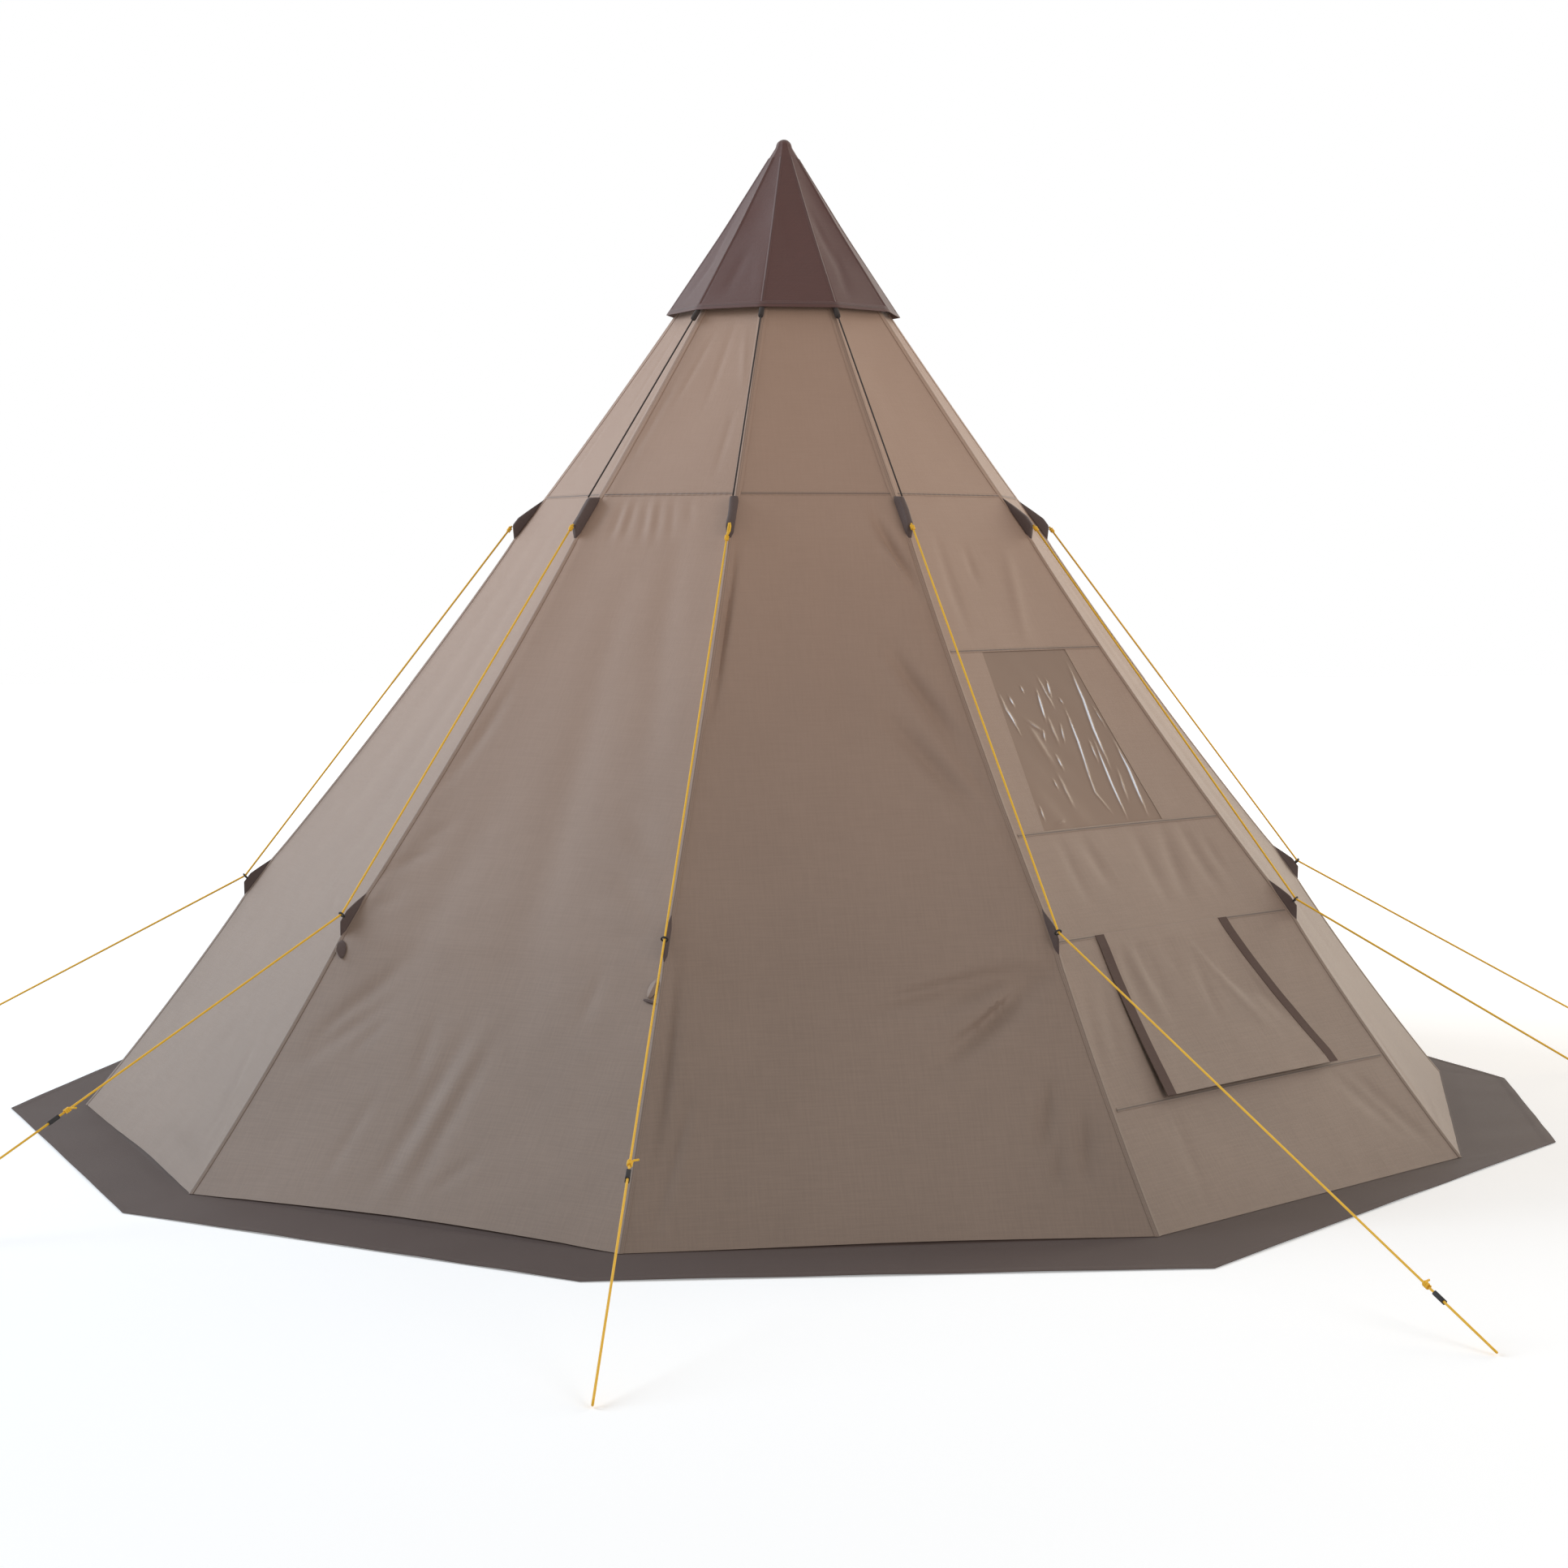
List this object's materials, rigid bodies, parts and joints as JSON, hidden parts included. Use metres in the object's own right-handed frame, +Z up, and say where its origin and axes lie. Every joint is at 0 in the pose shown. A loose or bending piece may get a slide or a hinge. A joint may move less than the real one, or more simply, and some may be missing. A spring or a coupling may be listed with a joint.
{
  "type": "tipi tent",
  "caption": "Many-sided conical camping tent on a centre pole, with rain cap, ground skirt, window, flap-covered vent, zipped door and doubled guy lines with runners.",
  "frame": {"origin": "on the ground under the middle of the centre pole", "axes": "+Z up the pole; -Y out through the middle of the front gore (gore_03), so the door faces +Y; +X out along the ridge ridge_06"},
  "size_m": [6.2139, 6.0329, 3.075],
  "materials": {
    "canvas": "matt woven canvas",
    "dark_canvas": "matt coated cloth",
    "binding_tape": "woven tape",
    "guy_cord": "braided cord",
    "elastic_cord": "braided elastic",
    "fly_net": "fine net",
    "clear_film": "soft clear film",
    "zip_tape": "coil zip on tape",
    "zip_metal": "satin",
    "pole_steel": "galvanised",
    "black_plastic": "moulded"
  },
  "bodies": {
    "tent": {"gore_01": "canvas", "gore_02": "canvas", "gore_03": "canvas", "gore_04": "canvas", "gore_05": "canvas", "gore_06": "canvas", "gore_07": "canvas", "gore_08": "canvas", "gore_09": "canvas", "gore_10": "canvas", "ridge_01": "binding_tape", "ridge_02": "binding_tape", "ridge_03": "binding_tape", "ridge_04": "binding_tape", "ridge_05": "binding_tape", "ridge_06": "binding_tape", "ridge_07": "binding_tape", "ridge_08": "binding_tape", "ridge_09": "binding_tape", "ridge_10": "binding_tape", "ground_skirt": "dark_canvas", "rain_cap": "dark_canvas", "cap_cords": "elastic_cord", "crown_net": "fly_net", "window_pane": "clear_film", "vent_net": "fly_net", "zip_left": "zip_tape", "zip_right": "zip_tape", "pole_foot": "black_plastic", "pole_bottom": "pole_steel", "pole_middle": "pole_steel", "pole_top": "pole_steel", "pole_head": "black_plastic", "guy_line_01": "guy_cord", "guy_line_02": "guy_cord", "guy_line_03": "guy_cord", "guy_line_04": "guy_cord", "guy_line_05": "guy_cord", "guy_line_06": "guy_cord", "guy_line_07": "guy_cord", "guy_line_08": "guy_cord", "guy_line_09": "guy_cord", "guy_line_10": "guy_cord"},
    "door": {"door_flap": "canvas"},
    "vent_flap": {"vent_flap": "canvas"},
    "zip_slider_left": {"zip_slider_left": "zip_metal"},
    "zip_slider_right": {"zip_slider_right": "zip_metal"},
    "runner_01": {"runner_01": "black_plastic"},
    "runner_02": {"runner_02": "black_plastic"},
    "runner_03": {"runner_03": "black_plastic"},
    "runner_04": {"runner_04": "black_plastic"},
    "runner_05": {"runner_05": "black_plastic"},
    "runner_06": {"runner_06": "black_plastic"},
    "runner_07": {"runner_07": "black_plastic"},
    "runner_08": {"runner_08": "black_plastic"},
    "runner_09": {"runner_09": "black_plastic"},
    "runner_10": {"runner_10": "black_plastic"}
  },
  "joints": [
    {"name": "door_hinge", "type": "hinge", "parent": "tent", "child": "door", "pos_m": [0, 0.94213, 1.6397], "axis": [1, 0, 0], "range_deg": [0, 90]},
    {"name": "vent_flap_hinge", "type": "hinge", "parent": "tent", "child": "vent_flap", "pos_m": [0.91184, -1.3476, 0.7], "axis": [-0.809, -0.5878, 0], "range_deg": [0, 75]},
    {"name": "zip_slide_left", "type": "slide", "parent": "tent", "child": "zip_slider_left", "axis": [-0.1363, -0.5828, 0.8011], "range_m": [0, 1.783]},
    {"name": "zip_slide_right", "type": "slide", "parent": "tent", "child": "zip_slider_right", "axis": [0.1363, -0.5828, 0.8011], "range_m": [0, 1.783]},
    {"name": "runner_slide_01", "type": "slide", "parent": "tent", "child": "runner_01", "axis": [-0.8875, 0, -0.4607], "range_m": [0, 0.3]},
    {"name": "runner_slide_02", "type": "slide", "parent": "tent", "child": "runner_02", "axis": [-0.7212, -0.524, -0.453], "range_m": [0, 0.3]},
    {"name": "runner_slide_03", "type": "slide", "parent": "tent", "child": "runner_03", "axis": [-0.1587, -0.9114, -0.3797], "range_m": [0, 0.3]},
    {"name": "runner_slide_04", "type": "slide", "parent": "tent", "child": "runner_04", "axis": [0.3287, -0.8616, -0.3868], "range_m": [0, 0.114]},
    {"name": "runner_slide_05", "type": "slide", "parent": "tent", "child": "runner_05", "axis": [0.7212, -0.524, -0.453], "range_m": [0, 0.3]},
    {"name": "runner_slide_06", "type": "slide", "parent": "tent", "child": "runner_06", "axis": [0.8805, 0, -0.4741], "range_m": [0, 0.264]},
    {"name": "runner_slide_07", "type": "slide", "parent": "tent", "child": "runner_07", "axis": [0.6628, 0.4816, -0.5734], "range_m": [0, 0.3]},
    {"name": "runner_slide_08", "type": "slide", "parent": "tent", "child": "runner_08", "axis": [0.2532, 0.7792, -0.5734], "range_m": [0, 0.3]},
    {"name": "runner_slide_09", "type": "slide", "parent": "tent", "child": "runner_09", "axis": [-0.2532, 0.7792, -0.5734], "range_m": [0, 0.3]},
    {"name": "runner_slide_10", "type": "slide", "parent": "tent", "child": "runner_10", "axis": [-0.5154, 0.5841, -0.627], "range_m": [0, 0.3]}
  ]
}
